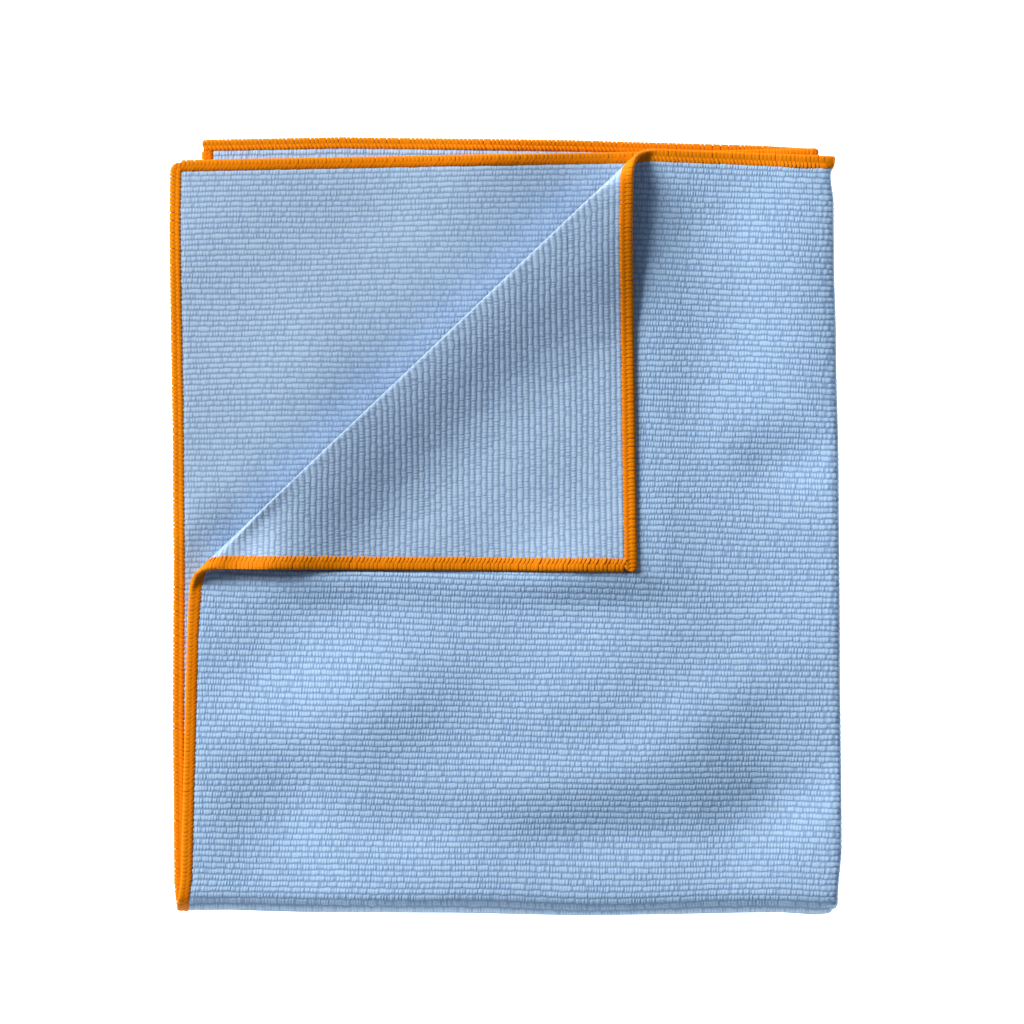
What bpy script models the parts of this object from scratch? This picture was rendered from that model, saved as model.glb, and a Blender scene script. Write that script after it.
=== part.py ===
"""A ribbed microfibre cloth with an overlocked edging, folded in quarters.

The open cloth is cut flat, as one slab with a separate run of edging round it.
Every point is then folded three times: up over the bottom crease, over the right
crease, and the top layer's free corner turned back over a diagonal crease.
The result lies on z = 0, with the middle of its outline at the origin.
"""

import math

import bmesh
import bpy
from mathutils import Vector

MM = 0.001

CLOTH_THICKNESS = 1.3 * MM
EDGING_WIDTH = 3.2 * MM
EDGING_THICKNESS = 1.7 * MM
EDGING_GAP = 0.3 * MM

LAYER_PITCH = 2.1 * MM  # from the middle of one layer to the middle of the next
BOTTOM_CREASE_Y = -101.5 * MM  # where the bottom fold starts to curve
RIGHT_CREASE_X = 85.4 * MM  # where the right fold starts to curve
INNER_SETBACK = 3.0 * MM  # how far the inner layers turn short of the right fold
SETBACK_FADE = 20.0 * MM  # how far in from the right fold that is felt
SETBACK_START = 0.15 * LAYER_PITCH  # a point this high starts to stand back
SETBACK_RISE = 0.7 * LAYER_PITCH  # and this much higher it stands back fully
CORNER_CREASE_START = Vector((-76.9, -11.8)) * MM  # lower left end of the turned corner
CORNER_CREASE_END = Vector((34.6, 94.1)) * MM  # upper right end
CORNER_ROLL_RADIUS = 3.0 * MM
CORNER_SINK_LENGTH = 16.0 * MM  # how far from its roll the turned corner comes down

# Outline of the open cloth, clockwise from the rear layer's top left corner. Each
# point is given where it lies when folded. Layer 1 is the top one, 4 the lowest,
# and layer 0 is the turned corner on top of layer 1.
OUTLINE_COLUMNS = ("layer", "x", "y")
OUTLINE = [
    (3, -81.4, 103.6),
    (3, -44.3, 104.3),
    (3, 85.4, 101.3),
    (2, -87.1, 98.0),
    (2, -89.7, 95.4),
    (1, -87.8, -101.5),
    (1, -86.8, -94.0),
    (1, -85.2, -30.6),
    (0, -64.4, -12.0),
    (0, 35.3, -12.1),
    (0, 34.0, 79.3),
    (1, 49.5, 100.6),
    (4, 85.4, 98.8),
    (4, -80.2, 93.8),
    (4, -80.6, -101.5),
]

# Soft swells that lift the upper layers: centre, half lengths, turn of the long
# half in degrees, and the lift of the top layer at the centre.
SWELL_COLUMNS = ("x", "y", "long", "short", "turn", "lift")
SWELLS = [
    (-45.0, -45.0, 34.0, 18.0, 35.0, 1.5),
    (38.0, -34.0, 46.0, 15.0, 38.0, 1.7),
    (-5.0, -84.0, 60.0, 14.0, 4.0, 1.3),
    (62.0, 14.0, 24.0, 16.0, 60.0, 1.4),
    (52.0, 72.0, 26.0, 15.0, 20.0, 1.1),
    (84.0, -40.0, 14.0, 60.0, 0.0, 0.9),
    (-60.0, 52.0, 30.0, 20.0, 45.0, 1.2),
    (8.0, 22.0, 26.0, 16.0, 40.0, 0.9),
    (76.0, -94.0, 16.0, 12.0, 0.0, 1.2),
]

# How far the two folded edges bow outwards, at places along them.
BOW_COLUMNS = ("along", "out")
RIGHT_EDGE_BOW = [
    (-99.0, 0.0),
    (-85.0, 0.8),
    (-30.0, 0.5),
    (12.0, 0.0),
    (50.0, -0.5),
    (92.0, -1.8),
    (97.0, -0.8),
    (104.0, -0.8),
]
BOTTOM_EDGE_BOW = [
    (-90.0, 0.3),
    (-84.5, 0.3),
    (-82.0, -0.7),
    (-50.0, 0.0),
    (-15.0, 0.1),
    (20.0, 0.8),
    (75.0, 0.0),
    (82.0, 1.1),
    (90.0, 0.6),
]
BOW_FADE = 30.0 * MM  # how far in from the edge the bow is felt
CORNER_RADIUS = 3.4 * MM  # of the folded corner at the bottom right

# Corners of the edging's section: across from the cloth's border inwards, as a
# part of the width, and height as a part of the thickness.
SECTION_COLUMNS = ("across", "height")
EDGING_SECTION = [
    (0.0, -0.22),
    (0.2, -0.5),
    (0.8, -0.5),
    (1.0, -0.22),
    (1.0, 0.22),
    (0.8, 0.5),
    (0.2, 0.5),
    (0.0, 0.22),
]

CELL_SIZE = 13.0 * MM  # mesh cells on the flat stretches
CELL_CLEARANCE = 4.0 * MM  # how near a plain cell line may come to a fold
RIGHT_FOLD_CELLS = 8  # mesh cells round the right fold and round the corner's roll
BOTTOM_FOLD_CELLS = 6
SINK_CUTS = (0.4, 0.6, 0.8, 1.0)  # cuts past the corner's roll, as parts of its sink length
CUT_SNAP = 0.2 * MM  # a cut that passes a point this closely goes through it
MERGE_DISTANCE = 0.4 * MM  # mesh points nearer than this become one
SHARP_TURN = math.radians(20)  # a border point that turns more is a corner
CORNER_CLEARANCE = 1.2 * EDGING_WIDTH  # how near a corner another border point may be
SMOOTH_LIMIT = math.radians(50)  # edges that turn less are shaded smooth

CLOTH_COLOUR = (0.31, 0.46, 0.68, 1.0)
CLOTH_ROUGHNESS = 0.9
EDGING_COLOUR = (0.80, 0.19, 0.01, 1.0)
EDGING_ROUGHNESS = 0.6

INNER_RIGHT_RADIUS = LAYER_PITCH / 2
RIGHT_AXIS_HEIGHT = LAYER_PITCH + INNER_RIGHT_RADIUS
BOTTOM_ARC = math.pi * LAYER_PITCH / 2
RIGHT_ARC = math.pi * (RIGHT_AXIS_HEIGHT + INNER_RIGHT_RADIUS) / 2
CORNER_ARC = math.pi * CORNER_ROLL_RADIUS
TOP_LAYER_HEIGHT = 2 * RIGHT_AXIS_HEIGHT


def rows(table, columns):
    """Gives each row of a table as a dictionary."""
    return [dict(zip(columns, row)) for row in table]


def ease(part):
    """Goes smoothly from 0 to 1."""
    part = min(max(part, 0.0), 1.0)
    return part * part * (3 - 2 * part)


def corner_axes():
    """Gives the direction along the diagonal crease and the one towards its corner."""
    along = (CORNER_CREASE_END - CORNER_CREASE_START).normalized()
    return along, Vector((-along.y, along.x))


def bend(distance, height, radius, arc):
    """Bends a level sheet up and over an axis at the given radius above height 0.

    Returns the new distance past the crease and the new height.
    """
    if distance <= 0:
        return distance, height
    reach = radius - height
    if distance < arc:
        angle = math.pi * distance / arc
        return reach * math.sin(angle), radius - reach * math.cos(angle)
    return arc - distance, 2 * radius - height


def turn_corner(x, y, height):
    """Rolls the free corner of the top layer over the diagonal crease."""
    along, across = corner_axes()
    place = Vector((x, y)) - CORNER_CREASE_START
    distance = place.dot(across)
    new_distance, new_height = bend(distance, height, CORNER_ROLL_RADIUS, CORNER_ARC)
    sunk = ease((distance - CORNER_ARC) / CORNER_SINK_LENGTH)
    new_height -= sunk * (2 * CORNER_ROLL_RADIUS - LAYER_PITCH)
    folded = CORNER_CREASE_START + along * place.dot(along) + across * new_distance
    return folded.x, folded.y, new_height


def setback_at(beyond, height):
    """Gives how far an inner layer stands back from the right fold."""
    inner = ease((height - SETBACK_START) / SETBACK_RISE)
    near = 1 - ease(-beyond / SETBACK_FADE)
    return INNER_SETBACK * inner * near


def fold(u, v, w):
    """Folds a point of the open cloth: u and v lie in the sheet, w is its height."""
    below, height = bend(BOTTOM_CREASE_Y - v, w, LAYER_PITCH / 2, BOTTOM_ARC)
    y = BOTTOM_CREASE_Y - below
    beyond, z = bend(u - RIGHT_CREASE_X, height, RIGHT_AXIS_HEIGHT, RIGHT_ARC)
    x = RIGHT_CREASE_X + beyond - setback_at(beyond, height)
    if u > RIGHT_CREASE_X + RIGHT_ARC and v > BOTTOM_CREASE_Y:
        x, y, above = turn_corner(x, y, z - TOP_LAYER_HEIGHT)
        z = TOP_LAYER_HEIGHT + above
    return settle(x, y, z + CLOTH_THICKNESS / 2)


def unfold(layer, x, y):
    """Finds where a point seen in a layer of the folded cloth lies in the open cloth."""
    if layer == 0:
        along, across = corner_axes()
        place = Vector((x, y)) - CORNER_CREASE_START
        flat_distance = CORNER_ARC - place.dot(across)
        x, y = CORNER_CREASE_START + along * place.dot(along) + across * flat_distance
    if layer in (2, 3):
        y = 2 * BOTTOM_CREASE_Y - y - BOTTOM_ARC
    if layer in (0, 1, 2):
        x = 2 * RIGHT_CREASE_X - x + RIGHT_ARC
    return Vector((x, y, 0.0))


def swell_at(x, y):
    """Gives how far the swells lift the top layer over a place."""
    lift = 0.0
    for swell in rows(SWELLS, SWELL_COLUMNS):
        turn = math.radians(swell["turn"])
        dx = x - swell["x"] * MM
        dy = y - swell["y"] * MM
        run = (dx * math.cos(turn) + dy * math.sin(turn)) / (swell["long"] * MM)
        rise = (dy * math.cos(turn) - dx * math.sin(turn)) / (swell["short"] * MM)
        lift += swell["lift"] * MM * math.exp(-(run * run + rise * rise))
    return lift


def bow_at(table, place):
    """Gives how far a folded edge stands out at a place along it."""
    points = rows(table, BOW_COLUMNS)
    place = min(max(place / MM, points[0]["along"]), points[-1]["along"])
    for start, end in zip(points, points[1:]):
        if place <= end["along"]:
            part = ease((place - start["along"]) / (end["along"] - start["along"]))
            return (start["out"] + (end["out"] - start["out"]) * part) * MM
    return 0.0


def round_corner(x, y):
    """Rounds the folded corner at the bottom right, with every layer alike."""
    silhouette = CLOTH_THICKNESS / 2
    centre_x = RIGHT_CREASE_X + RIGHT_AXIS_HEIGHT + silhouette - CORNER_RADIUS
    centre_y = BOTTOM_CREASE_Y - LAYER_PITCH / 2 - silhouette + CORNER_RADIUS
    dx = x - centre_x
    dy = y - centre_y
    if dx <= 0 or dy >= 0:
        return x, y
    scale = max(dx, -dy) / math.hypot(dx, dy)
    return centre_x + dx * scale, centre_y + dy * scale


def settle(x, y, z):
    """Lets the folded stack lie: flat below, with swells above and bowed edges."""
    z = max(z, 0.0) * (1 + swell_at(x, y) / TOP_LAYER_HEIGHT)
    right_in = (RIGHT_CREASE_X - x) / BOW_FADE
    bottom_in = (y - BOTTOM_CREASE_Y) / BOW_FADE
    right_bow = bow_at(RIGHT_EDGE_BOW, y) * (1 - ease(right_in))
    bottom_bow = bow_at(BOTTOM_EDGE_BOW, x) * (1 - ease(bottom_in))
    x, y = round_corner(x, y)
    return x + right_bow, y - bottom_bow, z


def cut_line(bm, point, normal):
    """Cuts mesh edges along a straight line of the open cloth."""
    geometry = bm.verts[:] + bm.edges[:] + bm.faces[:]
    bmesh.ops.bisect_plane(bm, geom=geometry, plane_co=point, plane_no=normal, dist=CUT_SNAP)


def fold_cuts(start, arc, cells, margin):
    """Gives places for cuts across a fold, with one more cut beyond each end."""
    places = [start + arc * cell / cells for cell in range(cells + 1)]
    return [start - margin] + places + [start + arc + margin]


def cell_cuts(places, taken):
    """Gives evenly spaced cuts between a sheet's borders, clear of the fold's own cuts."""
    low = min(places)
    high = max(places)
    count = round((high - low) / CELL_SIZE)
    cuts = [low + (high - low) * index / count for index in range(1, count)]
    first = taken[0] - CELL_CLEARANCE
    last = taken[-1] + CELL_CLEARANCE
    return [cut for cut in cuts if not first < cut < last]


def cut_into_cells(bm):
    """Cuts the open sheet into cells that are narrow where it will fold."""
    right_cuts = fold_cuts(RIGHT_CREASE_X, RIGHT_ARC, RIGHT_FOLD_CELLS, EDGING_WIDTH)
    bottom_start = BOTTOM_CREASE_Y - BOTTOM_ARC
    bottom_cuts = fold_cuts(bottom_start, BOTTOM_ARC, BOTTOM_FOLD_CELLS, EDGING_WIDTH)
    right_cuts += cell_cuts([vertex.co.x for vertex in bm.verts], right_cuts)
    bottom_cuts += cell_cuts([vertex.co.y for vertex in bm.verts], bottom_cuts)
    for place in right_cuts:
        cut_line(bm, (place, 0, 0), (1, 0, 0))
    for place in bottom_cuts:
        cut_line(bm, (0, place, 0), (0, 1, 0))
    along, across = corner_axes()
    start = unfold(1, *CORNER_CREASE_START)
    mirrored = Vector((-across.x, across.y, 0.0))
    corner_cuts = fold_cuts(0.0, CORNER_ARC, RIGHT_FOLD_CELLS, EDGING_WIDTH)
    corner_cuts += [CORNER_ARC + CORNER_SINK_LENGTH * part for part in SINK_CUTS]
    for place in corner_cuts:
        cut_line(bm, start + mirrored * place, mirrored)


def merge_close_points(bm):
    """Joins points that lie too close, and leaves the border where it is."""
    border = [vertex for vertex in bm.verts if vertex.is_boundary]
    bmesh.ops.remove_doubles(bm, verts=border, dist=MERGE_DISTANCE)
    border = [vertex for vertex in bm.verts if vertex.is_boundary]
    close = bmesh.ops.find_doubles(
        bm, verts=bm.verts[:], keep_verts=border, dist=MERGE_DISTANCE
    )
    bmesh.ops.weld_verts(bm, targetmap=close["targetmap"])


def open_sheet(inset):
    """Makes the open cloth's flat face, cut into cells, smaller by an even inset."""
    bm = bmesh.new()
    corners = []
    for corner in rows(OUTLINE, OUTLINE_COLUMNS):
        place = unfold(corner["layer"], corner["x"] * MM, corner["y"] * MM)
        corners.append(bm.verts.new(place))
    face = bm.faces.new(corners)
    face.normal_update()
    if inset:
        rim = bmesh.ops.inset_region(
            bm, faces=[face], thickness=inset, use_even_offset=True, use_boundary=True
        )
        bmesh.ops.delete(bm, geom=rim["faces"], context="FACES")
    cut_into_cells(bm)
    merge_close_points(bm)
    bm.normal_update()
    for face in bm.faces:
        if face.normal.z < 0:
            face.normal_flip()
    return bm


def finish_object(name, bm, colour, roughness):
    """Folds a mesh of the open cloth and makes it a smooth object with a material."""
    bmesh.ops.recalc_face_normals(bm, faces=bm.faces)
    for vertex in bm.verts:
        vertex.co = fold(*vertex.co)
    if bm.calc_volume(signed=True) < 0:
        bmesh.ops.reverse_faces(bm, faces=bm.faces)
    mesh = bpy.data.meshes.new(name)
    bm.to_mesh(mesh)
    bm.free()
    mesh.shade_smooth()
    mesh.set_sharp_from_angle(angle=SMOOTH_LIMIT)
    material = bpy.data.materials.new(name)
    material.use_nodes = True
    shader = material.node_tree.nodes["Principled BSDF"]
    shader.inputs["Base Color"].default_value = colour
    shader.inputs["Roughness"].default_value = roughness
    shader.inputs["Metallic"].default_value = 0.0
    mesh.materials.append(material)
    made = bpy.data.objects.new(name, mesh)
    bpy.context.scene.collection.objects.link(made)
    return made


def make_cloth():
    """Makes the sheet of cloth: a flat slab inside the edging, folded up."""
    bm = open_sheet(EDGING_WIDTH + EDGING_GAP)
    bmesh.ops.triangulate(bm, faces=bm.faces[:])
    lower = bm.verts[:]
    extruded = bmesh.ops.extrude_face_region(bm, geom=bm.faces[:])
    upper = [item for item in extruded["geom"] if isinstance(item, bmesh.types.BMVert)]
    bmesh.ops.translate(bm, verts=upper, vec=(0, 0, CLOTH_THICKNESS / 2))
    bmesh.ops.translate(bm, verts=lower, vec=(0, 0, -CLOTH_THICKNESS / 2))
    return finish_object("cloth", bm, CLOTH_COLOUR, CLOTH_ROUGHNESS)


def walk_border(bm):
    """Walks round the border of a sheet, anticlockwise, and gives its points."""
    first = next(edge for edge in bm.edges if edge.is_boundary)
    vertex = first.verts[0]
    edge = first
    places = []
    while not places or edge is not first:
        places.append(vertex.co.copy())
        vertex = edge.other_vert(vertex)
        edge = next(other for other in vertex.link_edges if other.is_boundary and other is not edge)
    following = places[1:] + places[:1]
    twice_area = sum(here.cross(there).z for here, there in zip(places, following))
    return places if twice_area > 0 else places[::-1]


def directions(places, index):
    """Gives the directions of a closed line before and after one of its points."""
    before = (places[index] - places[index - 1]).normalized()
    after = (places[(index + 1) % len(places)] - places[index]).normalized()
    return before, after


def is_corner(places, index):
    """Tells whether a closed line turns sharply at one of its points."""
    before, after = directions(places, index)
    return before.angle(after) > SHARP_TURN


def clear_corners(places):
    """Leaves out the points that crowd a corner of a closed line."""
    corners = [place for index, place in enumerate(places) if is_corner(places, index)]
    kept = []
    for place in places:
        nearest = min((place - corner).length for corner in corners)
        if place in corners or nearest > CORNER_CLEARANCE:
            kept.append(place)
    return kept


def rim_stations(bm):
    """Gives each point of a sheet's border with its inward mitre.

    The mitre is as long as it must be for a band of width 1 along the border.
    """
    places = clear_corners(walk_border(bm))
    stations = []
    for index, place in enumerate(places):
        before, after = directions(places, index)
        inward = Vector((-before.y - after.y, before.x + after.x, 0.0)) / 2
        stations.append((place, inward / inward.length_squared))
    return stations


def make_edging():
    """Makes the overlocked edging: one closed run round the open cloth, folded with it."""
    sheet = open_sheet(0.0)
    stations = rim_stations(sheet)
    sheet.free()
    bm = bmesh.new()
    rings = []
    for place, mitre in stations:
        ring = []
        for corner in rows(EDGING_SECTION, SECTION_COLUMNS):
            point = place + mitre * (corner["across"] * EDGING_WIDTH)
            point.z = corner["height"] * EDGING_THICKNESS
            ring.append(bm.verts.new(point))
        rings.append(ring)
    for ring, following in zip(rings, rings[1:] + rings[:1]):
        for index in range(len(ring)):
            bm.faces.new((ring[index - 1], ring[index], following[index], following[index - 1]))
    bmesh.ops.triangulate(bm, faces=bm.faces[:])
    return finish_object("edging", bm, EDGING_COLOUR, EDGING_ROUGHNESS)


def main():
    """Clears the scene and builds the folded cloth with its edging."""
    for item in list(bpy.data.objects):
        bpy.data.objects.remove(item, do_unlink=True)
    folded_cloth = bpy.data.objects.new("folded_cloth", None)
    bpy.context.scene.collection.objects.link(folded_cloth)
    for piece in (make_cloth(), make_edging()):
        piece.parent = folded_cloth


main()
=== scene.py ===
import math

import bmesh
import bpy
import numpy as np
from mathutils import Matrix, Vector


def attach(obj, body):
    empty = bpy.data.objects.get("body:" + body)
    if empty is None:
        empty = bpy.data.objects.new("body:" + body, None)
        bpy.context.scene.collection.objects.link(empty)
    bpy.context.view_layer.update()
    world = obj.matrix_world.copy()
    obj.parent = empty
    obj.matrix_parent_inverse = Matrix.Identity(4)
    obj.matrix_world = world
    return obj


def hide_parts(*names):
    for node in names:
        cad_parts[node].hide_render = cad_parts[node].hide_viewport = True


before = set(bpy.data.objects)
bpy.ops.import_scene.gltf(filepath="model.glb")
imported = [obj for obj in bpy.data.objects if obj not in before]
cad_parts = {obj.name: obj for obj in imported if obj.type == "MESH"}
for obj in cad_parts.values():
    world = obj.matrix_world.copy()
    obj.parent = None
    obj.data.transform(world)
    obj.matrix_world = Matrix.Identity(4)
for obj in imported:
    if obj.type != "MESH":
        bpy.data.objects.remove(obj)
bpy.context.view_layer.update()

mm = 0.001  # every size below is in millimetres, and becomes metres when a mesh is placed
print("frame loaded:", ", ".join(sorted(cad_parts)))


# Camera, floor and lights

studio = {
    "photoWidth": 274.4,  # what the picture's width covers at the cloth
    "photoCentre": (1.82, 3.75),
    "cameraHeight": 2400.0,
    "clothHeight": 7.0,
    "farthest": 20000.0,  # that the camera sees
    "sensor": 36.0,
    "floorSize": 6000.0,
    "floorColour": (0.95, 0.95, 0.95, 1.0),
    "floorRoughness": 0.9,
    "floorGlow": 1.5,  # an overexposed white sweep
    "grainScale": 400.0,
    "grainStrength": 0.02,
    "grainDepth": 1.0,
    "skyColour": (0.72, 0.92, 1.2, 1.0),
    "skyStrength": 0.17,
    "keyPlace": (-2180.0, 1530.0, 1385.0),
    "keySize": 1400.0,
    "keyPower": 148.0,
}


def makeCamera():
    data = bpy.data.cameras.new("camera")
    data.sensor_width = studio["sensor"]
    drop = studio["cameraHeight"] - studio["clothHeight"]
    data.lens = studio["sensor"] * drop / studio["photoWidth"]
    data.clip_end = studio["farthest"] * mm
    camera = bpy.data.objects.new("camera", data)
    camera.location = Vector((*studio["photoCentre"], studio["cameraHeight"])) * mm
    bpy.context.scene.collection.objects.link(camera)
    bpy.context.scene.camera = camera


def makeKey():
    data = bpy.data.lights.new("key", "AREA")
    data.size = studio["keySize"] * mm
    data.energy = studio["keyPower"]
    light = bpy.data.objects.new("key", data)
    light.location = Vector(studio["keyPlace"]) * mm
    light.rotation_mode = "QUATERNION"
    light.rotation_quaternion = Vector(studio["keyPlace"]).to_track_quat("Z", "Y")
    bpy.context.scene.collection.objects.link(light)


def makeFloor():
    bm = bmesh.new()
    bmesh.ops.create_grid(bm, x_segments=1, y_segments=1, size=studio["floorSize"] * mm / 2)
    floor = newPiece("floor", bm)
    colour = studio["floorColour"]
    material, shader, nodes, links = newMaterial("paleFloor", colour, studio["floorRoughness"])
    shader.inputs["Emission Color"].default_value = colour
    shader.inputs["Emission Strength"].default_value = studio["floorGlow"]
    grain = nodes.new("ShaderNodeTexNoise")
    grain.inputs["Scale"].default_value = studio["grainScale"]
    coordinate = nodes.new("ShaderNodeTexCoord")
    links.new(coordinate.outputs["Object"], grain.inputs["Vector"])
    bump = addBump(shader, nodes, links, grain.outputs["Fac"], studio["grainDepth"])
    bump.inputs["Strength"].default_value = studio["grainStrength"]
    floor.data.materials.append(material)
    return floor


def makeSky():
    world = bpy.data.worlds.new("softStudio")
    world.use_nodes = True
    sky = world.node_tree.nodes["Background"]
    sky.inputs["Color"].default_value = studio["skyColour"]
    sky.inputs["Strength"].default_value = studio["skyStrength"]
    bpy.context.scene.world = world
    bpy.context.scene.view_settings.view_transform = "Standard"


def newPiece(name, bm):
    mesh = bpy.data.meshes.new(name)
    bm.to_mesh(mesh)
    bm.free()
    piece = bpy.data.objects.new(name, mesh)
    bpy.context.scene.collection.objects.link(piece)
    return piece


def newMaterial(name, colour, roughness):
    material = bpy.data.materials.new(name)
    material.use_nodes = True
    nodes = material.node_tree.nodes
    shader = nodes["Principled BSDF"]
    shader.inputs["Base Color"].default_value = colour
    shader.inputs["Roughness"].default_value = roughness
    return material, shader, nodes, material.node_tree.links


def addBump(shader, nodes, links, height, depth):
    bump = nodes.new("ShaderNodeBump")
    bump.inputs["Distance"].default_value = depth * mm
    links.new(height, bump.inputs["Height"])
    links.new(bump.outputs["Normal"], shader.inputs["Normal"])
    return bump


# How the open cloth folds: the part's own creases, layers and swells, with a squarer roll and finer ridges

folds = {
    "thickness": 1.3,
    "pitch": 2.1,  # between the middles of neighbouring layers
    "bottomY": -101.5,
    "rightX": 85.4,
    "setback": 3.0,
    "setbackFade": 20.0,
    "setbackStart": 0.15,  # parts of the pitch
    "setbackRise": 0.7,
    "creaseStart": (-76.9, -11.8),
    "creaseEnd": (34.6, 94.1),
    "rollRadius": 3.0,
    "rollArc": 11.0,
    "rollPower": 0.1,  # 1 is round, and less is squarer
    # place along the crease, share of the roll's height
    "rollPuff": [(0.0, 0.9), (50.0, 1.05), (110.0, 1.25), (160.0, 0.95)],
    "rollEnds": (26.0, 14.0),  # where the roll is still round
    # place along the crease, how far from the roll the turned corner comes down
    "sinkLength": [(0.0, 23.0), (60.0, 30.0), (110.0, 34.0), (160.0, 40.0)],
    "sinkStart": 0.94,  # of the roll
    "dip": 1.3,  # of the second layer, towards the crease
    "dipLength": 12.5,
    "dipStart": -6.0,  # along the crease
    "dipFades": (16.0, 12.0),  # at the crease's two ends
    "flapPitch": 1.7,
    "flapEdges": (34.8, -12.1),
    "pillow": 1.05,  # of the layer below, just outside the turned corner
    "pillowStart": -0.5,  # outside the turned corner's edge
    "pillowRise": 0.9,
    "pillowCrest": 1.0,
    "pillowLength": 10.0,
    "pillowEnds": (-64.0, 84.0),  # left and top
    "pillowFades": (15.0, 12.0),
    "rightPower": 0.3,
    "bendSteps": 181,  # for the length of a squarer bend
    "slump": 0.5,  # of the height, towards the bottom edge
    "slumpStart": -96.6,
    "slumpLength": 6.6,
    "bowFade": 30.0,
    "cornerRadius": 3.4,
    # x, y, half length, half width, turn of the long half, lift
    "swells": [
        (-45.0, -45.0, 34.0, 18.0, 35.0, 1.5),
        (38.0, -34.0, 46.0, 15.0, 38.0, 1.7),
        (-5.0, -84.0, 60.0, 14.0, 4.0, 1.3),
        (62.0, 14.0, 24.0, 16.0, 60.0, 1.4),
        (52.0, 72.0, 26.0, 15.0, 20.0, 1.1),
        (84.0, -40.0, 14.0, 60.0, 0.0, 0.9),
        (-60.0, 52.0, 30.0, 20.0, 45.0, 1.2),
        (8.0, 22.0, 26.0, 16.0, 40.0, 0.9),
        (76.0, -94.0, 16.0, 12.0, 0.0, 1.2),
    ],
    # the finer ridges and troughs that the solid leaves out, as above
    "ripples": [
        (71.0, -74.5, 15.0, 8.0, 42.0, -2.8),
        (52.0, -52.0, 17.0, 9.0, 42.0, 2.2),
        (24.0, -83.0, 32.0, 6.5, 3.0, -1.3),
        (22.0, -67.0, 30.0, 8.0, 6.0, 1.3),
        (-24.0, -99.0, 24.0, 14.0, 3.0, 1.3),
        (76.0, -90.0, 16.0, 10.0, 0.0, -0.8),
        (10.0, -99.5, 60.0, 7.0, 1.0, 0.9),
        (-31.0, -49.0, 22.0, 12.0, 35.0, 1.7),
        (-25.0, -80.0, 16.0, 7.0, 5.0, -1.1),
        (-12.0, -60.0, 20.0, 11.0, 35.0, 0.8),
        (-62.0, -36.0, 20.0, 10.0, 35.0, -1.0),
        (-71.0, -5.0, 16.0, 8.0, 55.0, -1.9),
        (-60.0, -77.0, 16.0, 8.0, 80.0, -2.2),
        (74.5, 17.5, 9.0, 6.5, 60.0, -2.8),
        (79.0, 60.0, 34.0, 9.0, 88.0, 1.8),
        (54.0, 60.0, 30.0, 10.0, 85.0, -0.9),
        (95.0, -10.0, 100.0, 18.0, 90.0, 2.4),
        (68.0, -38.0, 22.0, 13.0, 45.0, 1.1),
        (37.0, 88.0, 18.0, 12.0, 80.0, 0.4),
        (32.0, 30.0, 40.0, 14.0, 90.0, 0.4),
        (37.0, 12.0, 24.0, 9.0, 90.0, 0.6),
        (36.0, 66.0, 18.0, 9.0, 90.0, -0.7),
        (54.0, 80.0, 14.0, 8.0, 50.0, -0.8),
        (30.0, -10.0, 24.0, 20.0, 45.0, 1.2),
        (18.0, -12.0, 16.0, 8.0, 0.0, 2.0),
        (-61.0, -14.0, 21.0, 8.0, 5.0, 1.4),
        (-33.0, 54.0, 50.0, 13.0, 43.5, 0.6),
        (0.0, 104.0, 28.0, 16.0, 43.5, 3.5),
        (-50.0, 42.0, 17.0, 10.0, 75.0, 1.4),
        (-74.0, 5.0, 16.0, 8.0, 43.0, 1.8),
        (-84.0, 74.0, 34.0, 14.0, 45.0, 1.2),
        (-9.4, 28.8, 50.0, 11.0, 43.5, -0.5),
        (-33.0, 83.0, 12.0, 8.0, 20.0, -0.8),
    ],
    # place along the edge, how far it bows out
    "rightBow": [
        (-99.0, 0.0), (-85.0, 1.0), (-30.0, 0.5), (12.0, 0.2),
        (50.0, -0.5), (70.0, -1.0), (86.0, -1.1), (94.0, -1.9), (98.0, -0.8), (104.0, -0.8),
    ],
    "bottomBow": [
        (-90.0, 0.0), (-84.5, 0.1), (-82.0, -0.3), (-50.0, 0.45), (-15.0, 0.6),
        (20.0, 1.4), (75.0, 0.5), (82.0, 1.1), (90.0, 0.9),
    ],
}
innerRadius = folds["pitch"] / 2
rightRadius = folds["pitch"] + innerRadius
bottomArc = math.pi * folds["pitch"] / 2
rightArc = math.pi * (rightRadius + innerRadius) / 2
rollArc = folds["rollArc"]
topHeight = 2 * rightRadius
creaseStart = np.array(folds["creaseStart"])
creaseAlong = np.array(folds["creaseEnd"]) - creaseStart
creaseLength = np.linalg.norm(creaseAlong)
creaseAlong = creaseAlong / creaseLength
creaseAcross = np.array((-creaseAlong[1], creaseAlong[0]))


def ease(part):
    part = np.clip(part, 0.0, 1.0)
    return part * part * (3 - 2 * part)


def bend(distance, height, radius, arc, power=1.0):
    # a half turn, which starts at distance 0 and uses up the arc
    angle = np.linspace(0.0, math.pi, folds["bendSteps"])
    across = np.sin(angle) ** power
    level = np.sign(np.cos(angle)) * np.abs(np.cos(angle)) ** power
    steps = np.hypot(np.diff(across), np.diff(level))
    travel = np.concatenate(([0.0], np.cumsum(steps))) / steps.sum()
    part = np.clip(distance / arc, 0.0, 1.0)
    reach = radius - height
    past = np.maximum(distance - arc, 0.0)
    newDistance = np.where(distance < 0, distance, reach * np.interp(part, travel, across) - past)
    return newDistance, radius - reach * np.interp(part, travel, level)


def fromCrease(x, y):
    # how far along the diagonal crease, and how far past it towards the free corner
    run = (x - creaseStart[0]) * creaseAlong[0] + (y - creaseStart[1]) * creaseAlong[1]
    distance = (x - creaseStart[0]) * creaseAcross[0] + (y - creaseStart[1]) * creaseAcross[1]
    return run, distance


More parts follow.
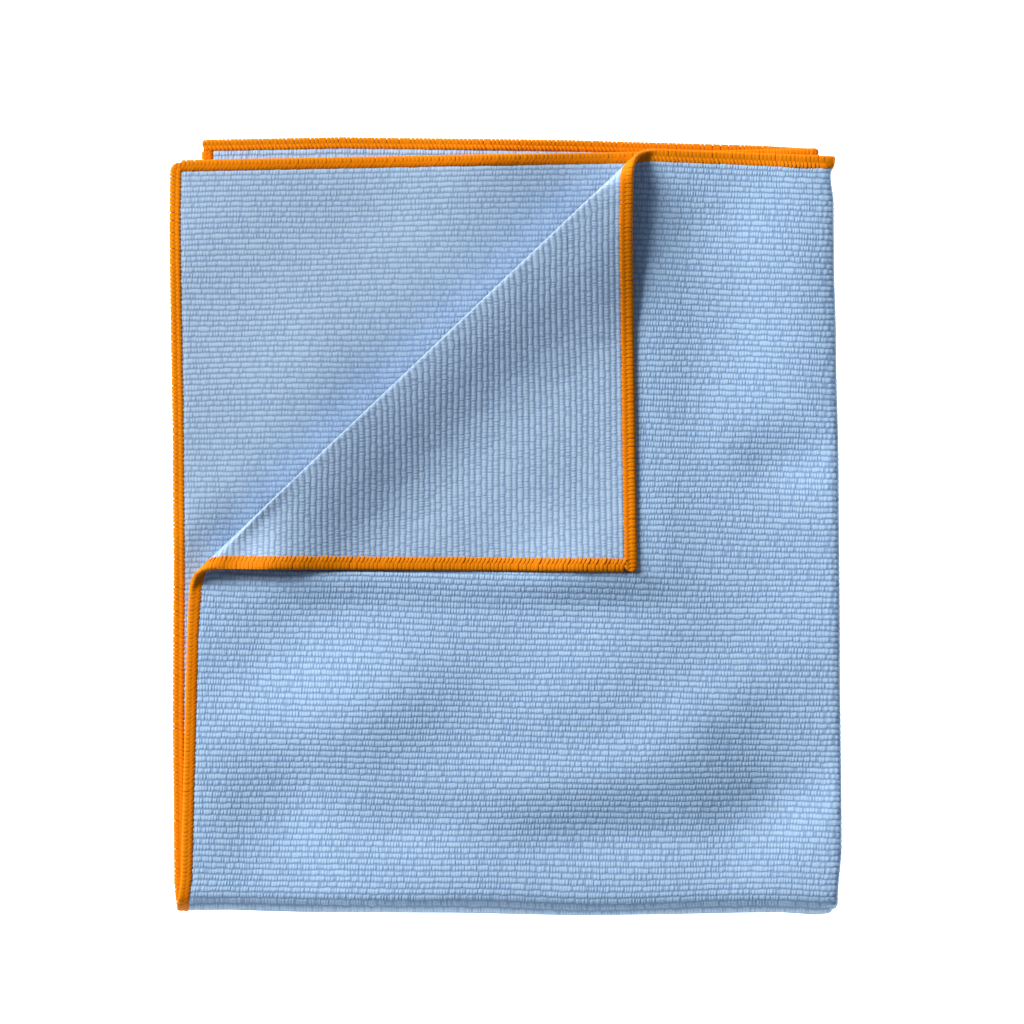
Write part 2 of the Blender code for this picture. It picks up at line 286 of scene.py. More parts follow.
def turnCorner(x, y, height):
    run, distance = fromCrease(x, y)
    roundDistance, roundHeight = bend(distance, height, folds["rollRadius"], rollArc)
    newDistance, newHeight = bend(distance, height, folds["rollRadius"], rollArc, folds["rollPower"])
    start, end = folds["rollEnds"]
    square = ease(run / start) * ease((creaseLength - run) / end)
    newDistance = roundDistance + (newDistance - roundDistance) * square
    newHeight = roundHeight + (newHeight - roundHeight) * square
    fallen = (distance - rollArc * folds["sinkStart"]) / np.interp(run, *zip(*folds["sinkLength"]))
    sunk = ease(fallen)
    risen = ease(distance / rollArc * 2)  # reaches 1 half way round
    puffed = 1 + (np.interp(run, *zip(*folds["rollPuff"])) - 1) * risen
    newHeight = newHeight * puffed - sunk * (2 * folds["rollRadius"] * puffed - folds["flapPitch"])
    newHeight = newHeight + np.where(distance < 0, pillowAt(x, y), 0.0)
    newX = creaseStart[0] + creaseAlong[0] * run + creaseAcross[0] * newDistance
    newY = creaseStart[1] + creaseAlong[1] * run + creaseAcross[1] * newDistance
    return newX, newY, newHeight


def dipAt(x, y):
    run, distance = fromCrease(x, y)
    near = ease(1 - np.abs(distance) / folds["dipLength"])
    startFade, endFade = folds["dipFades"]
    depth = folds["dip"] * near * ease((run - folds["dipStart"]) / startFade)
    return depth * ease((creaseLength - run) / endFade)


def pillowAt(x, y):
    right, bottom = folds["flapEdges"]
    outside = np.maximum(x - right, bottom - y)
    rising = ease((outside - folds["pillowStart"]) / folds["pillowRise"])
    falling = ease((outside - folds["pillowCrest"]) / folds["pillowLength"])
    lift = folds["pillow"] * rising * (1 - falling)
    left, top = folds["pillowEnds"]
    leftFade, topFade = folds["pillowFades"]
    return lift * (1 - ease((y - top) / topFade)) * ease((x - left) / leftFade)


def swellAt(x, y):
    lift = np.zeros_like(x)
    for placeX, placeY, halfLong, halfShort, turn, height in folds["swells"] + folds["ripples"]:
        angle = math.radians(turn)
        run = ((x - placeX) * math.cos(angle) + (y - placeY) * math.sin(angle)) / halfLong
        rise = ((y - placeY) * math.cos(angle) - (x - placeX) * math.sin(angle)) / halfShort
        lift = lift + height * np.exp(-(run * run + rise * rise))
    return lift


def bowAt(table, place):
    # eased from each place in the table to the next
    places = [row[0] for row in table]
    out = [row[1] for row in table]
    index = np.clip(np.searchsorted(places, place) - 1, 0, len(places) - 2)
    low = np.take(places, index)
    part = ease((place - low) / (np.take(places, index + 1) - low))
    return np.take(out, index) + (np.take(out, index + 1) - np.take(out, index)) * part


def roundCorner(x, y, centreX, centreY, signX, signY):
    # moves a square corner's points inwards to a round one
    dx = np.maximum((x - centreX) * signX, 0.0)
    dy = np.maximum((y - centreY) * signY, 0.0)
    reach = np.hypot(dx, dy)
    scale = np.where((dx > 0) & (dy > 0), np.maximum(dx, dy) / np.maximum(reach, 1e-9), 1.0)
    newX = np.where(dx > 0, centreX + dx * scale * signX, x)
    newY = np.where(dy > 0, centreY + dy * scale * signY, y)
    return newX, newY


def settle(x, y, z):
    slumped = np.clip((folds["slumpStart"] - y) / folds["slumpLength"], 0.0, 1.0)
    z = np.maximum(z, 0.0) * (1 + swellAt(x, y) / topHeight) * (1 - folds["slump"] * slumped**3)
    rightBow = bowAt(folds["rightBow"], y) * (1 - ease((folds["rightX"] - x) / folds["bowFade"]))
    bottomBow = bowAt(folds["bottomBow"], x) * (1 - ease((y - folds["bottomY"]) / folds["bowFade"]))
    half = folds["thickness"] / 2
    centreX = folds["rightX"] + rightRadius + half - folds["cornerRadius"]
    centreY = folds["bottomY"] - innerRadius - half + folds["cornerRadius"]
    x, y = roundCorner(x, y, centreX, centreY, 1, -1)
    return x + rightBow, y - bottomBow, z


def fold(u, v, w):
    # from the open cloth to the folded one: bottom, right, then the free corner
    below, height = bend(folds["bottomY"] - v, w, innerRadius, bottomArc)
    y = folds["bottomY"] - below
    beyond, z = bend(u - folds["rightX"], height, rightRadius, rightArc, folds["rightPower"])
    inner = ease((height / folds["pitch"] - folds["setbackStart"]) / folds["setbackRise"])
    x = folds["rightX"] + beyond
    x = x - folds["setback"] * inner * (1 - ease(-beyond / folds["setbackFade"]))
    turnX, turnY, turnZ = turnCorner(x, y, z - topHeight)
    turned = (u > folds["rightX"] + rightArc) & (v > folds["bottomY"])
    x = np.where(turned, turnX, x)
    y = np.where(turned, turnY, y)
    z = np.where(turned, turnZ + topHeight, z)
    secondHeight = topHeight - folds["pitch"]
    lower = z < secondHeight + innerRadius
    z = z - np.where(lower, dipAt(x, y) * z / secondHeight, 0.0)
    return settle(x, y, z + folds["thickness"] / 2)


def placeFolded(piece, u, v, w):
    x, y, z = fold(u, v, w)
    places = np.stack((x, y, z), axis=1) * mm
    piece.data.vertices.foreach_set("co", places.astype(np.float32).ravel())
    piece.data.update()


def meshPlaces(mesh):
    places = np.empty(len(mesh.vertices) * 3, np.float32)
    mesh.vertices.foreach_get("co", places)
    return places.reshape(-1, 3).astype(float).T


# The open cloth's outline: places seen in a layer of the folded cloth, laid flat

outline = {
    # layer, x, y: layer 1 is the top one, 4 the lowest, and 0 the turned corner
    "rear": [
        (3, -81.4, 103.6), (3, -44.3, 104.3), (3, 17.0, 103.5), (3, 70.0, 102.0),
        (3, 85.4, 101.3), (2, -89.7, 98.0),
    ],
    "side": [
        (2, -89.7, 98.0), (2, -89.8, 95.4), (2, -90.0, 80.0), (2, -89.7, 58.0), (2, -89.2, 28.0),
        (2, -88.9, -10.0), (2, -89.1, -50.0), (2, -88.7, -96.0),
        (1, -87.8, -101.5), (1, -86.8, -94.0),
        (1, -85.2, -30.6), (0, -64.4, -11.5), (0, 35.3, -12.2),
    ],
    "top": [(0, 35.3, -12.2), (0, 34.0, 79.3), (1, 49.5, 100.6), (4, 85.4, 98.8), (4, -80.2, 93.8)],
    "low": [(4, -80.2, 93.8), (4, -80.6, -101.5), (3, -81.4, 103.6)],
    # of the corner where each run starts: which way it points in u and v, and its radius
    "corners": {"rear": (-1, -1, 1.0), "side": (1, -1, 3.2), "top": (1, 1, 1.0), "low": (-1, 1, 1.0)},
    "stretches": 5,  # of the even grid, until it meets the outline
}


def layFlat(layer, x, y):
    if layer == 0:
        run, distance = fromCrease(x, y)
        x, y = creaseStart + creaseAlong * run + creaseAcross * (rollArc - distance)
    if layer in (2, 3):
        y = 2 * folds["bottomY"] - y - bottomArc
    if layer in (0, 1, 2):
        x = 2 * folds["rightX"] - x + rightArc
    return x, y


runNames = tuple(outline["corners"])
sides = {name: np.array([layFlat(*row) for row in outline[name]]) for name in runNames}
middleU = folds["rightX"] + rightArc / 2
middleV = folds["bottomY"] - bottomArc / 2
lowU, highU = sides["low"][0][0], sides["side"][0][0]
lowV, highV = sides["rear"][0][1], sides["top"][-1][1]


def borders(u, v):
    # the outline's places to the left and right of v, and below and above u
    left = np.interp(v, *sides["low"][::-1].T[::-1])
    right = np.interp(v, *sides["side"].T[::-1])
    bottom = np.interp(u, *sides["rear"].T)
    top = np.interp(u, *sides["top"][::-1].T)
    return left, right, bottom, top


def toCut(gridU, gridV):
    # stretches an even grid to the outline and keeps its middle lines on the folds
    leftPart = np.maximum((middleU - gridU) / (middleU - lowU), 0)
    rightPart = np.maximum((gridU - middleU) / (highU - middleU), 0)
    lowPart = np.maximum((middleV - gridV) / (middleV - lowV), 0)
    highPart = np.maximum((gridV - middleV) / (highV - middleV), 0)
    u, v = gridU, gridV
    for _ in range(outline["stretches"]):
        left, right, bottom, top = borders(u, v)
        u = middleU - leftPart * (middleU - left) + rightPart * (right - middleU)
        v = middleV - lowPart * (middleV - bottom) + highPart * (top - middleV)
    return u, v


def toGrid(u, v):
    # from the outline back to the even grid
    left, right, bottom, top = borders(u, v)
    gridU = np.where(
        u < middleU,
        middleU - (middleU - u) / (middleU - left) * (middleU - lowU),
        middleU + (u - middleU) / (right - middleU) * (highU - middleU),
    )
    gridV = np.where(
        v < middleV,
        middleV - (middleV - v) / (middleV - bottom) * (middleV - lowV),
        middleV + (v - middleV) / (top - middleV) * (highV - middleV),
    )
    return gridU, gridV


def roundCuts(u, v):
    for name, (signU, signV, radius) in outline["corners"].items():
        cornerU, cornerV = sides[name][0]
        u, v = roundCorner(u, v, cornerU - signU * radius, cornerV - signV * radius, signU, signV)
    return u, v


# The cloth: one sheet with ribs raised on both faces

cloth = {
    "ribPitch": 1.48,
    "ribLines": 3,  # mesh lines for each rib
    "ribHeight": 0.1,
    "halfThickness": 0.64,
    "inset": 0.9,  # of the cut edge inside the stitches
    "rimThickness": 0.3,  # under the stitches
    "rimFlat": 2.2,  # how far in it stays that thin
    "rimWidth": 3.6,  # and where it is full again
    "rimMargin": 0.8,  # to the next mesh column, which keeps the rim's shading narrow
    "flatColumns": 17,  # mesh columns on each flat half
    "foldColumns": 13,
    "foldMargin": 0.4,
    "crowding": 0.7,  # of mesh lines towards a squarish bend's two corners
    "rollCuts": 17,
    "sinkCuts": 3,
    "sinkReach": 27.0,  # past the roll
    "cutTolerance": 0.02,
    "waver": 0.16,  # of the ribs from a straight line
    "waverLengths": (9.3, 17.0, 21.0, 6.1),  # of two waves that cross, each with a length both ways
    "waverSway": 3.0,
    "waverStart": 1.7,
    "waverFade": 20.0,  # in from the cut edge
    "outerShift": 1000.0,  # ribs between the two faces' patterns, so that the material tells them apart
}
ribCount = round((highV - lowV) / cloth["ribPitch"])


def closerAtCorners(count):
    # places from 0 to 1
    step = np.linspace(0, 1, count)
    return step + cloth["crowding"] * np.sin(4 * math.pi * step) / (4 * math.pi)


def clothColumns():
    foldStart = folds["rightX"] - cloth["foldMargin"]
    foldEnd = folds["rightX"] + rightArc + cloth["foldMargin"]
    columns = cloth["flatColumns"] + 1
    clear = cloth["rimWidth"] + cloth["rimMargin"]
    left = np.linspace(lowU + clear, foldStart, columns)[:-1]
    bent = foldStart + (foldEnd - foldStart) * closerAtCorners(cloth["foldColumns"] + 1)
    right = np.linspace(foldEnd, highU - clear, columns)[1:]
    rim = np.array((cloth["inset"], cloth["rimFlat"], cloth["rimWidth"]))
    return np.concatenate((lowU + rim, left, bent, right, highU - rim[::-1]))


def clothRows():
    rows = np.linspace(lowV, highV, ribCount * cloth["ribLines"] + 1)
    rows = rows[(rows > lowV + cloth["inset"]) & (rows < highV - cloth["inset"])]
    return np.concatenate(([lowV + cloth["inset"]], rows, [highV - cloth["inset"]]))


def openCloth():
    # the two faces of the open cloth, one above the other, closed all round
    columns = clothColumns()
    rows = clothRows()
    bm = bmesh.new()
    bmesh.ops.create_grid(bm, x_segments=len(columns) - 1, y_segments=len(rows) - 1, size=0.5)
    gridU = np.array([columns[round((v.co.x + 0.5) * (len(columns) - 1))] for v in bm.verts])
    gridV = np.array([rows[round((v.co.y + 0.5) * (len(rows) - 1))] for v in bm.verts])
    for vertex, u, v in zip(bm.verts, *toCut(gridU, gridV)):
        vertex.co = (u, v, 0)
    cutRoll(bm)
    lower = bm.verts[:]
    raised = bmesh.ops.extrude_face_region(bm, geom=bm.faces[:])
    upper = [item for item in raised["geom"] if isinstance(item, bmesh.types.BMVert)]
    bmesh.ops.translate(bm, verts=upper, vec=(0, 0, 1))
    bmesh.ops.translate(bm, verts=lower, vec=(0, 0, -1))
    bmesh.ops.recalc_face_normals(bm, faces=bm.faces)
    return bm


def addWeave(piece, ribs, gridU, side):
    # u and v count in ribs, along and across them
    weave = piece.data.uv_layers.new(name="weave")
    corner = np.empty(len(piece.data.loops), np.int32)
    piece.data.loops.foreach_get("vertex_index", corner)
    weaveU = (gridU - lowU) / cloth["ribPitch"]
    weaveV = ribs + np.where(side < 0, cloth["outerShift"], 0.0)
    weave.data.foreach_set("uv", np.stack((weaveU, weaveV), axis=1)[corner].astype(np.float32).ravel())


def waverAt(u, v):
    short, sway, long, across = cloth["waverLengths"]
    swaying = np.sin(u / short + cloth["waverSway"] * np.sin(v / sway))
    return cloth["waver"] * (swaying + np.sin(u / long + v / across + cloth["waverStart"]))


def makeCloth():
    piece = newPiece("cloth_sheet", openCloth())
    u, v, side = meshPlaces(piece.data)
    left, right, bottom, top = borders(u, v)
    inside = np.minimum(np.minimum(u - left, right - u), np.minimum(v - bottom, top - v))
    free = ease((inside - cloth["rimFlat"]) / (cloth["rimWidth"] - cloth["rimFlat"]))
    gridU, gridV = toGrid(u, v)
    ribs = (gridV - lowV) / (highV - lowV) * ribCount
    ribPart = np.mod(ribs, 1.0)
    crown = np.minimum(1.0, cloth["ribLines"] * np.minimum(ribPart, 1 - ribPart))
    thickness = cloth["rimThickness"] + (cloth["halfThickness"] - cloth["rimThickness"]) * free
    addWeave(piece, ribs, gridU, side)
    u, v = roundCuts(u, v + waverAt(u, v) * ease(inside / cloth["waverFade"]))
    placeFolded(piece, u, v, side * (thickness + cloth["ribHeight"] * (crown - 0.5) * free))
    piece.data.shade_smooth()
    piece.data.materials.append(clothMaterial())
    print("cloth:", len(piece.data.polygons), "faces")
    return piece


def cutRoll(bm):
    # lines along the diagonal roll, so that it bends evenly
    startU, startV = layFlat(1, *creaseStart)
    normal = Vector((-creaseAcross[0], creaseAcross[1], 0.0))
    places = list(rollArc * closerAtCorners(cloth["rollCuts"]))
    for step in range(cloth["sinkCuts"]):
        places.append(rollArc + cloth["sinkReach"] * (step + 1) / cloth["sinkCuts"])
    for place in places:
        point = Vector((startU, startV, 0.0)) + normal * place
        geometry = bm.verts[:] + bm.edges[:] + bm.faces[:]
        bmesh.ops.bisect_plane(
            bm, geom=geometry, plane_co=point, plane_no=normal, dist=cloth["cutTolerance"]
        )


def clothMaterial():
    look = {
        "outerCrown": (0.485, 0.67, 0.88, 1.0),
        # the gap colours are the crown colours darkened: painted shade in the gaps between the ribs and in
        # the joints
        "outerGapShade": (0.26, 0.41, 0.64, 1.0),
        "innerCrown": (0.455, 0.59, 0.745, 1.0),
        "innerGapShade": (0.275, 0.395, 0.585, 1.0),
        "roughness": 0.85,
        "sheen": 0.2,
        "sheenRoughness": 0.5,
        "specular": 0.2,
        # lengths along and across the ribs are in ribs
        "wobble": 0.36,  # of the gaps between the ribs
        "wobbleScale": (0.6, 0.8),
        "rowShift": 997.0,  # at random, so that neighbouring ribs break at other places
        "brickLength": 2.7,
        "bitLength": 1.3,
        "jointWidth": 0.25,
        "beadPitch": 0.54,
        "beadUnevenness": 0.45,
        "beadWidth": 0.4,
        # depth by a noise: its scales along and across, its low and high value, and the depth at each
        "brickDepth": (0.37, 7.1, 0.3, 0.65, 0.65, 1.0),
        "bitDepth": (0.21, 3.7, 0.35, 0.72, 0.0, 1.0),
        "beadDepth": (0.4, 5.3, 0.3, 0.7, 0.2, 0.55),
        "beadNarrowing": 0.2,  # of a rib's crown between the beads
        "jointNarrowing": 0.16,  # and at the joints
        "crownEdge": (-0.04, 0.28),  # in from the gap
        "jointCut": 0.85,
        "fibreScale": 9.0,
        "fibreDetail": 2.0,
        "fibreHeight": 0.12,
        "relief": 0.115,  # in millimetres
        "innerRelief": 0.75,  # share of the outer face's
        "brickTone": 0.14,  # from darkest to brightest
        "patchTone": 0.2,
        "patchScale": 0.09,
        "patchDetail": 3.0,
    }
    material, shader, nodes, links = newMaterial("ribbedMicrofibre", look["outerCrown"], look["roughness"])
    shader.inputs["Sheen Weight"].default_value = look["sheen"]
    shader.inputs["Sheen Roughness"].default_value = look["sheenRoughness"]
    shader.inputs["Specular IOR Level"].default_value = look["specular"]

    def put(socket, value):
        if isinstance(value, (int, float, tuple)):
            socket.default_value = value
        else:
            links.new(value, socket)

    def maths(operation, *values):
        node = nodes.new("ShaderNodeMath")
        node.operation = operation
        for socket, value in zip(node.inputs, values):
            put(socket, value)
        return node.outputs[0]

    def smooth(value, low, high, first=0.0, last=1.0):
        node = nodes.new("ShaderNodeMapRange")
        node.interpolation_type = "SMOOTHSTEP"
        put(node.inputs["Value"], value)
        put(node.inputs["From Min"], low)
        put(node.inputs["From Max"], high)
        put(node.inputs["To Min"], first)
        put(node.inputs["To Max"], last)
        return node.outputs["Result"]

    def around(value, spread):
        # 1 on average, where the value runs from 0 to 1
        return maths("MULTIPLY_ADD", value, spread, 1 - spread / 2)

    def mixed(share, first, last):
        node = nodes.new("ShaderNodeMix")
        node.data_type = "RGBA"
        put(node.inputs["Factor"], share)
        put(node.inputs["A"], first)
        put(node.inputs["B"], last)
        return node.outputs["Result"]

    def noise(x, y, scaleX, scaleY, detail=1.0):
        node = nodes.new("ShaderNodeTexNoise")
        node.noise_dimensions = "2D"
        node.inputs["Scale"].default_value = 1.0
        node.inputs["Detail"].default_value = detail
        join = nodes.new("ShaderNodeCombineXYZ")
        links.new(maths("MULTIPLY", x, scaleX), join.inputs["X"])
        links.new(maths("MULTIPLY", y, scaleY), join.inputs["Y"])
        links.new(join.outputs["Vector"], node.inputs["Vector"])
        return node.outputs["Fac"]

    def cells(place, length, feature, output, unevenness=1.0):
        node = nodes.new("ShaderNodeTexVoronoi")
        node.inputs["Randomness"].default_value = unevenness
        node.voronoi_dimensions = "1D"
        node.feature = feature
        node.inputs["Scale"].default_value = 1.0
        links.new(maths("DIVIDE", place, length), node.inputs["W"])
        return node.outputs[output]

    def toJoint(length):
        gap = cells(along, length, "DISTANCE_TO_EDGE", "Distance")
        return smooth(maths("MULTIPLY", gap, length), 0.0, look["jointWidth"], 1.0, 0.0)

    def varied(scaleX, scaleY, *levels):
        return smooth(noise(along, row, scaleX, scaleY), *levels)

    # places: the rib's number, the place across it, and the place along it
    weave = nodes.new("ShaderNodeUVMap")
    weave.uv_map = "weave"
    split = nodes.new("ShaderNodeSeparateXYZ")
    links.new(weave.outputs["UV"], split.inputs["Vector"])
    weaveX, weaveY = split.outputs["X"], split.outputs["Y"]
    isOuter = maths("GREATER_THAN", weaveY, cloth["outerShift"] / 2)
    wobble = noise(weaveX, weaveY, *look["wobbleScale"])
    across = maths("ADD", weaveY, maths("MULTIPLY_ADD", wobble, look["wobble"], -look["wobble"] / 2))
    row = maths("FLOOR", across)
    part = maths("FRACT", across)
    toEdge = maths("MINIMUM", part, maths("SUBTRACT", 1.0, part))
    rowNoise = nodes.new("ShaderNodeTexWhiteNoise")
    rowNoise.noise_dimensions = "1D"
    links.new(row, rowNoise.inputs["W"])
    along = maths("MULTIPLY_ADD", rowNoise.outputs["Value"], look["rowShift"], weaveX)

    # heights: bricks and shorter bits along each rib, with beads on them
    bricks = maths("MULTIPLY", toJoint(look["brickLength"]), varied(*look["brickDepth"]))
    bits = maths("MULTIPLY", toJoint(look["bitLength"]), varied(*look["bitDepth"]))
    joint = maths("MAXIMUM", bricks, bits)
    bead = cells(along, look["beadPitch"], "DISTANCE_TO_EDGE", "Distance", look["beadUnevenness"])
    bead = smooth(bead, 0.0, look["beadWidth"])
    beaded = maths("MULTIPLY_ADD", maths("SUBTRACT", bead, 1.0), varied(*look["beadDepth"]), 1.0)
    edge = maths("MULTIPLY_ADD", maths("SUBTRACT", beaded, 1.0), look["beadNarrowing"], toEdge)
    edge = maths("MULTIPLY_ADD", joint, -look["jointNarrowing"], edge)
    crown = smooth(edge, *look["crownEdge"])
    depth = maths("MULTIPLY_ADD", joint, -look["jointCut"], 1.0)
    height = maths("MULTIPLY", maths("MULTIPLY", crown, depth), beaded)
    fibre = noise(weaveX, weaveY, look["fibreScale"], look["fibreScale"], look["fibreDetail"])
    rough = maths("MULTIPLY_ADD", fibre, look["fibreHeight"], height)
    bump = addBump(shader, nodes, links, rough, look["relief"])
    links.new(smooth(isOuter, 0.0, 1.0, look["innerRelief"], 1.0), bump.inputs["Strength"])

    # colours: each face has its own, and they change a little from brick to brick and over the cloth; the
    # colour darkens with the height, towards the gaps between the ribs, the joints and the dips between
    # beads, as painted shade
    brickTone = nodes.new("ShaderNodeSeparateXYZ")
    links.new(cells(along, look["brickLength"], "F1", "Color"), brickTone.inputs["Vector"])
    patch = noise(weaveX, weaveY, look["patchScale"], look["patchScale"], look["patchDetail"])
    brickShade = around(brickTone.outputs["X"], look["brickTone"])
    tone = maths("MULTIPLY", brickShade, around(patch, look["patchTone"]))
    gapShadeColour = mixed(isOuter, look["innerGapShade"], look["outerGapShade"])
    crownColour = mixed(isOuter, look["innerCrown"], look["outerCrown"])
    links.new(mixed(maths("MULTIPLY", height, tone), gapShadeColour, crownColour), shader.inputs["Base Color"])
    return material


# The overlock stitches: strands round the cloth's edge, laid in four runs

stitches = {
    "pitch": 1.08,
    "width": 3.1,
    # along, inwards from the edge, height, half width of the strand
    "overEdge": [
        (0.25, 2.10, 0.40, 0.44), (0.12, 1.70, 0.56, 0.55), (0.0, 1.10, 0.60, 0.58),
        (0.0, 0.30, 0.60, 0.58), (0.0, 0.03, 0.46, 0.58), (0.0, 0.0, 0.0, 0.58),
        (0.0, 0.03, -0.46, 0.58), (0.0, 0.30, -0.60, 0.58), (0.0, 1.10, -0.60, 0.58),
        (0.12, 1.70, -0.56, 0.55), (0.25, 2.10, -0.40, 0.44),
    ],
    "inner": [
        (0.05, 1.40, 0.42, 0.46), (0.25, 1.75, 0.60, 0.52), (0.60, 2.25, 0.63, 0.53),
        (0.90, 2.70, 0.60, 0.51), (1.05, 2.98, 0.42, 0.46), (1.10, 3.08, 0.08, 0.38),
    ],
    "strandHeight": 0.17,
    "topWidening": 0.18,  # of the stitches' width, all along the top run
    "sideWidening": 0.22,  # and where the side run lies on the turned corner
    "wideningLength": 20.0,
    "startGap": 0.5,  # from a run's corner to its first stitch
    "endGap": 0.4,
    "uneven": (0.04, 0.01, 0.04),  # place along the edge, and shares of the reach and the height
    "strandSides": 6,
    "overSegments": 10,
    "innerSegments": 5,
    "pathSteps": 81,
    "smoothings": 12,  # of a strand's path
    "lookAhead": 0.02,  # share of the path, for its direction
    "bulge": 2.5,  # how much more a strand faces up than sideways
    "sharpAngle": 60,
    "seed": 7,
}


def runLine(name):
    line = sides[name]
    steps = np.linalg.norm(np.diff(line, axis=0), axis=1)
    return line, np.concatenate(([0.0], np.cumsum(steps)))


def layAlongRun(along, inwards, name):
    line, lengths = runLine(name)
    if name == "top":
        inwards = inwards * (1 + stitches["topWidening"])
    if name == "side":
        onFlap = ease((along - lengths[-3]) / stitches["wideningLength"])
        inwards = inwards * (1 + stitches["sideWidening"] * onFlap)
    u = np.interp(along, lengths, line[:, 0])
    v = np.interp(along, lengths, line[:, 1])
    directions = np.diff(line, axis=0) / np.diff(lengths)[:, None]
    middles = (lengths[1:] + lengths[:-1]) / 2
    dirU = np.interp(along, middles, directions[:, 0])
    dirV = np.interp(along, middles, directions[:, 1])
    size = np.hypot(dirU, dirV)
    past = along - np.clip(along, 0, lengths[-1])
    u = u + dirU / size * past - dirV / size * inwards
    v = v + dirV / size * past + dirU / size * inwards
    return roundCuts(u, v)


def tube(sideCount, segments):
    bm = bmesh.new()
    bmesh.ops.create_cone(bm, cap_ends=True, segments=sideCount, radius1=1.0, radius2=1.0, depth=1.0)
    lengthwise = [edge for edge in bm.edges if abs(edge.verts[0].co.z - edge.verts[1].co.z) > 0.5]
    bmesh.ops.subdivide_edges(bm, edges=lengthwise, cuts=segments - 1, use_grid_fill=True)
    return bm


def strandMesh(path, segments):
    # a tube along the path, flattened against the cloth
    path = np.array(path)
    steps = np.linspace(0, 1, len(path))
    fine = np.linspace(0, 1, stitches["pathSteps"])
    smoothPath = np.stack([np.interp(fine, steps, path[:, k]) for k in range(4)], axis=1)
    for _ in range(stitches["smoothings"]):
        smoothPath[1:-1] = (smoothPath[:-2] + smoothPath[1:-1] * 2 + smoothPath[2:]) / 4

    def pathAt(where):
        return np.array([np.interp(where, fine, smoothPath[:, k]) for k in range(4)])

    bm = tube(stitches["strandSides"], segments)
    for vertex in bm.verts:
        where = vertex.co.z + 0.5
        centre = pathAt(where)
        ahead = pathAt(where + stitches["lookAhead"])[:3]
        behind = pathAt(where - stitches["lookAhead"])[:3]
        forward = Vector(ahead - behind).normalized()
        outward = Vector((0.0, centre[1] - stitches["width"] / 2, centre[2] * stitches["bulge"]))
        sideways = forward.cross(outward).normalized()
        up = sideways.cross(forward)
        offset = sideways * vertex.co.x * centre[3] + up * vertex.co.y * stitches["strandHeight"]
        vertex.co = Vector(centre[:3]) + offset
    bmesh.ops.recalc_face_normals(bm, faces=bm.faces)
    return bm


def repeated(name, bm, count):
    single = newPiece(name + "_single", bm)
    row = single.modifiers.new("row", "ARRAY")
    row.use_relative_offset = False
    row.use_constant_offset = True
    row.constant_offset_displace = (stitches["pitch"], 0, 0)
    row.count = count
    graph = bpy.context.evaluated_depsgraph_get()
    mesh = bpy.data.meshes.new_from_object(single.evaluated_get(graph))
    mesh.name = name
    perStrand = len(single.data.vertices)
    bpy.data.objects.remove(single)
    piece = bpy.data.objects.new(name, mesh)
    bpy.context.scene.collection.objects.link(piece)
    return piece, perStrand


def layStrands(name, path, segments):
    random = np.random.default_rng(stitches["seed"])
    swingSpread, reachSpread, riseSpread = stitches["uneven"]
    parts = []
    for runName in runNames:
        _, lengths = runLine(runName)
        count = int((lengths[-1] - stitches["width"] + stitches["endGap"]) / stitches["pitch"])
        piece, perStrand = repeated(f"{name}_{runName}", strandMesh(path, segments), count)
        along, inwards, height = meshPlaces(piece.data)
        strand = np.arange(len(along)) // perStrand
        swing = random.normal(0, swingSpread, count)[strand]
        reach = 1 + random.normal(0, reachSpread, count)[strand]
        rise = 1 + random.normal(0, riseSpread, count)[strand]
        along = along + stitches["startGap"] + swing
        u, v = layAlongRun(along, inwards * reach, runName)
        placeFolded(piece, u, v, height * rise)
        parts.append(piece)
    return joined(name, parts)


def joined(name, parts):
    bm = bmesh.new()
    for part in parts:
        bm.from_mesh(part.data)
        bpy.data.objects.remove(part)
    bmesh.ops.recalc_face_normals(bm, faces=bm.faces)
    piece = newPiece(name, bm)
    piece.data.shade_smooth()
    piece.data.set_sharp_from_angle(angle=math.radians(stitches["sharpAngle"]))
    print(f"{name}:", len(piece.data.polygons), "faces")
    return piece


# The flat band under the strands

band = {
    "halfWidth": 1.37,
    "halfHeight": 0.5,
    "inset": 0.3,
    "startGap": 0.4,
    "sides": 10,
    "step": 1.3,
    "power": 0.5,  # 1 is round, and less is a flatter band
}


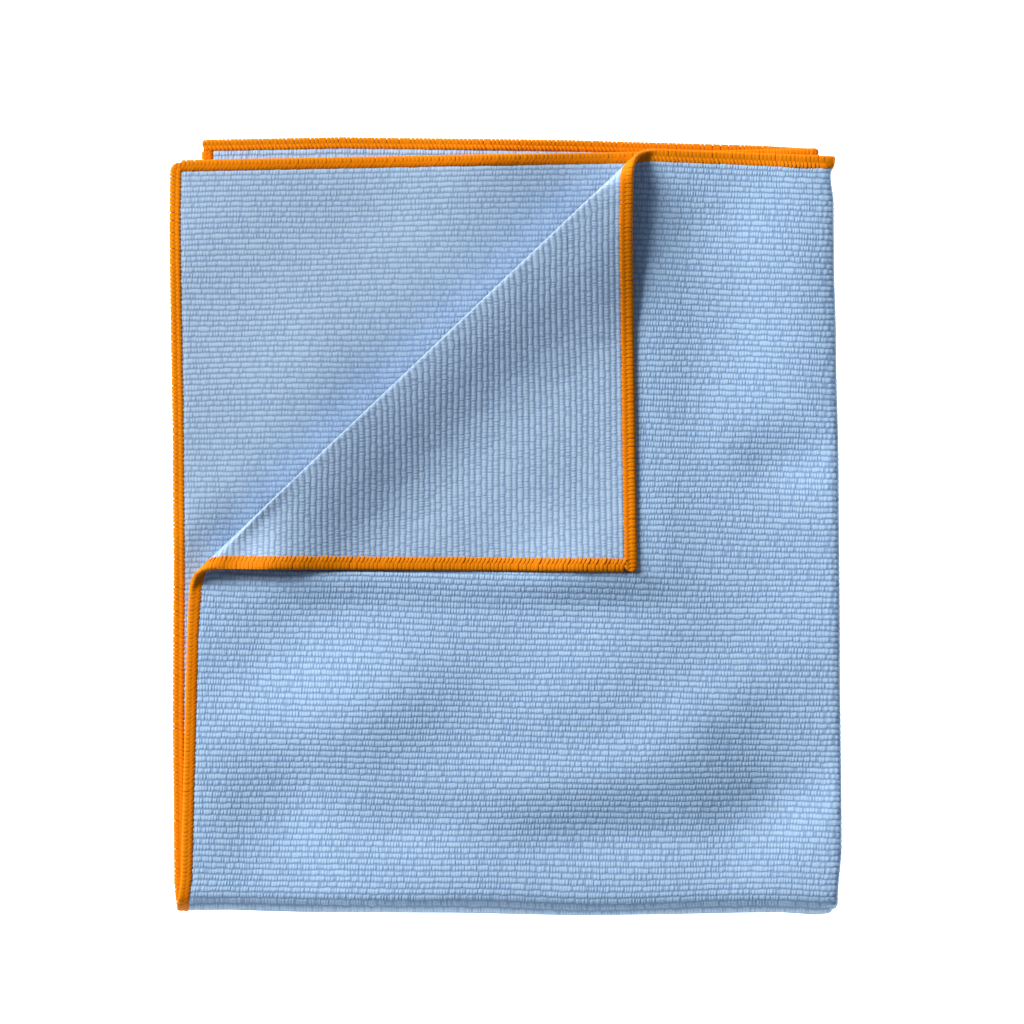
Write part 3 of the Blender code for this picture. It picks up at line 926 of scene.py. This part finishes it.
def makeCore():
    parts = []
    for runName in runNames:
        _, lengths = runLine(runName)
        part = newPiece(f"core_{runName}", tube(band["sides"], int(lengths[-1] / band["step"]) + 1))
        x, y, z = meshPlaces(part.data)
        across = np.sign(x) * np.abs(x) ** band["power"]
        up = np.sign(y) * np.abs(y) ** band["power"]
        along = band["startGap"] + (z + 0.5) * (lengths[-1] - stitches["width"])
        u, v = layAlongRun(along, band["inset"] + band["halfWidth"] * (1 + across), runName)
        placeFolded(part, u, v, up * band["halfHeight"])
        parts.append(part)
    return joined("edging_core", parts)


# The thread, paler in the strands and shaded in the band between them

thread = {
    "strandColour": (0.87, 0.234, 0.001, 1.0),
    # darker than the strands: the thread beneath them, darkened as painted shade between the strands
    "coreColour": (0.66, 0.134, 0.0, 1.0),
    "roughness": 0.6,
    "specular": 0.06,
    "sheen": 0.1,
    "fibreScale": 2600.0,
    "fibreDetail": 3.0,
    "fibreStrength": 0.4,
    "fibreDepth": 0.08,
}


def threadMaterial(name, colour):
    material, shader, nodes, links = newMaterial(name, colour, thread["roughness"])
    shader.inputs["Specular IOR Level"].default_value = thread["specular"]
    shader.inputs["Sheen Weight"].default_value = thread["sheen"]
    shader.inputs["Sheen Tint"].default_value = colour
    coordinate = nodes.new("ShaderNodeTexCoord")
    fibres = nodes.new("ShaderNodeTexNoise")
    fibres.inputs["Scale"].default_value = thread["fibreScale"]
    fibres.inputs["Detail"].default_value = thread["fibreDetail"]
    links.new(coordinate.outputs["Object"], fibres.inputs["Vector"])
    bump = addBump(shader, nodes, links, fibres.outputs["Fac"], thread["fibreDepth"])
    bump.inputs["Strength"].default_value = thread["fibreStrength"]
    return material


makeCamera()
makeSky()
floor = makeFloor()
makeKey()
print("studio ready")

sheet = makeCloth()
core = makeCore()
over = layStrands("edging_over", stitches["overEdge"], stitches["overSegments"])
innerTop = layStrands("edging_inner_face", stitches["inner"], stitches["innerSegments"])
underPath = [(along, inwards, -height, width) for along, inwards, height, width in stitches["inner"]]
innerUnder = layStrands("edging_inner_back", underPath, stitches["innerSegments"])
strandLook = threadMaterial("orangeThread", thread["strandColour"])
for piece in (over, innerTop, innerUnder):
    piece.data.materials.append(strandLook)
core.data.materials.append(threadMaterial("shadedThread", thread["coreColour"]))

for piece in (sheet, core, over, innerTop, innerUnder):
    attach(piece, "root")
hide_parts("cloth")
for piece in (core, over, innerTop, innerUnder):
    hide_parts("edging")
